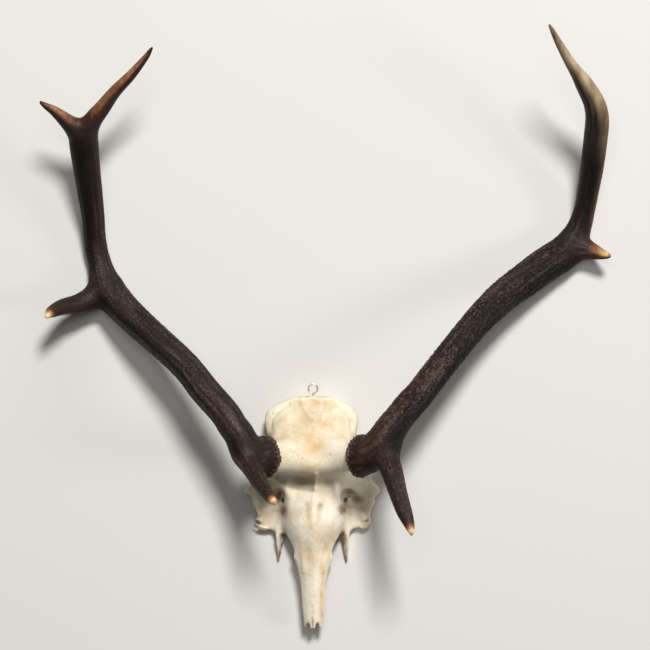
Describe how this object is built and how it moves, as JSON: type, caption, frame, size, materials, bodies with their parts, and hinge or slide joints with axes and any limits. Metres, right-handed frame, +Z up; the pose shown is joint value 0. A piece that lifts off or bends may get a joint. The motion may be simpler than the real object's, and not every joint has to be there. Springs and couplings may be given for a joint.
{
  "type": "red deer antlers on sawn skull",
  "caption": "Pair of branching red deer antlers standing on the sawn upper part of the stag's skull, with a small metal hanging eye at the back of the head.",
  "frame": {"origin": "middle of the footprint on the plane the piece rests on, which is the plane of the saw cut under the skull", "axes": "+Z up, away from the saw cut; -Y toward the nose, +Y toward the antler tops; +X toward the antler that stands on the right with the nose pointing at the viewer and the cut face down"},
  "size_m": [0.7122, 0.7476, 0.1982],
  "materials": {
    "bone": "dry bleached bone, matt, with tan stains",
    "antler": "dark brown pearled antler, satin on the ridges, pale worn tips",
    "eye_wire": "dull plated wire"
  },
  "bodies": {
    "root": {"skull": "bone", "left_lower_beam": "antler", "left_brow_tine": "antler", "left_trez_tine": "antler", "left_upper_beam": "antler", "left_crown_outer_tine": "antler", "left_crown_inner_tine": "antler", "right_lower_beam": "antler", "right_brow_tine": "antler", "right_trez_tine": "antler", "right_upper_beam": "antler", "hanging_eye": "eye_wire"}
  },
  "joints": []
}
